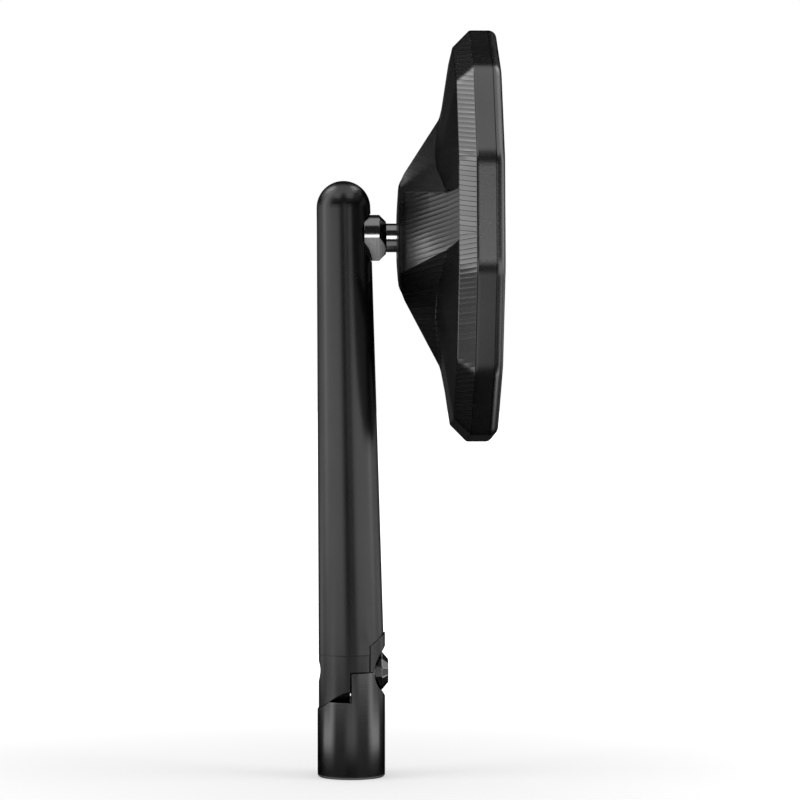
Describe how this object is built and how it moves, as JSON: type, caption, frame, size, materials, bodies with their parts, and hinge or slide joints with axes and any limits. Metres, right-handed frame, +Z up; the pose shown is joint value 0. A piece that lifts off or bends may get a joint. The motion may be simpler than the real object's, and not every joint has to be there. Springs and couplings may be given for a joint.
{
  "type": "motorcycle bar end mirror",
  "caption": "Folding bar end mirror: round base, leaning tapered stalk on a lap hinge, ball stud and an octagonal machined head.",
  "frame": {"origin": "centre of the base's round seat, at the mouth of its mounting hole", "axes": "+Z up the stalk, +X from the stalk towards the glass, Y along the head's width"},
  "size_m": [0.0433, 0.0998, 0.1813],
  "materials": {
    "black_anodised_base": "satin black anodised, fine turned",
    "black_anodised_stalk": "satin black anodised",
    "black_machined_head": "black anodised over fine milling lines",
    "black_screw": "glossy black",
    "spring_steel": "bright",
    "stainless_stud": "fine turned",
    "bronze": "plain",
    "seat_plastic": "plain",
    "plain_aluminium": "turned",
    "pad_foam": "matt foam",
    "mirror": "polished convex"
  },
  "bodies": {
    "base": {"base": "black_anodised_base", "pivot_bush": "bronze", "friction_washer": "seat_plastic"},
    "stalk": {"stalk": "black_anodised_stalk", "pivot_screw": "black_screw", "pivot_washer": "spring_steel", "pivot_spring_inner": "spring_steel", "pivot_spring_outer": "spring_steel", "ball_stud": "stainless_stud"},
    "pan_seat": {"rear_seat": "seat_plastic"},
    "tilt_seat": {"front_seat": "seat_plastic"},
    "head": {"housing": "black_machined_head", "pressure_cup": "plain_aluminium", "ball_spring_rear": "spring_steel", "ball_spring_front": "spring_steel", "ring_nut": "plain_aluminium", "glass_pad": "pad_foam", "mirror_glass": "mirror"}
  },
  "joints": [
    {"name": "fold", "type": "hinge", "parent": "base", "child": "stalk", "pos_m": [0, 0, 0.0258], "axis": [-1, 0, 0], "range_deg": [0, 75]},
    {"name": "pan", "type": "hinge", "parent": "stalk", "child": "pan_seat", "pos_m": [0.0185, 0, 0.1314], "axis": [0, 0, 1], "range_deg": [-10, 10]},
    {"name": "tilt", "type": "hinge", "parent": "pan_seat", "child": "tilt_seat", "pos_m": [0.0185, 0, 0.1314], "axis": [0, 1, 0], "range_deg": [-10, 10]},
    {"name": "spin", "type": "hinge", "parent": "tilt_seat", "child": "head", "pos_m": [0.0185, 0, 0.1314], "axis": [1, 0, 0], "continuous": true}
  ]
}
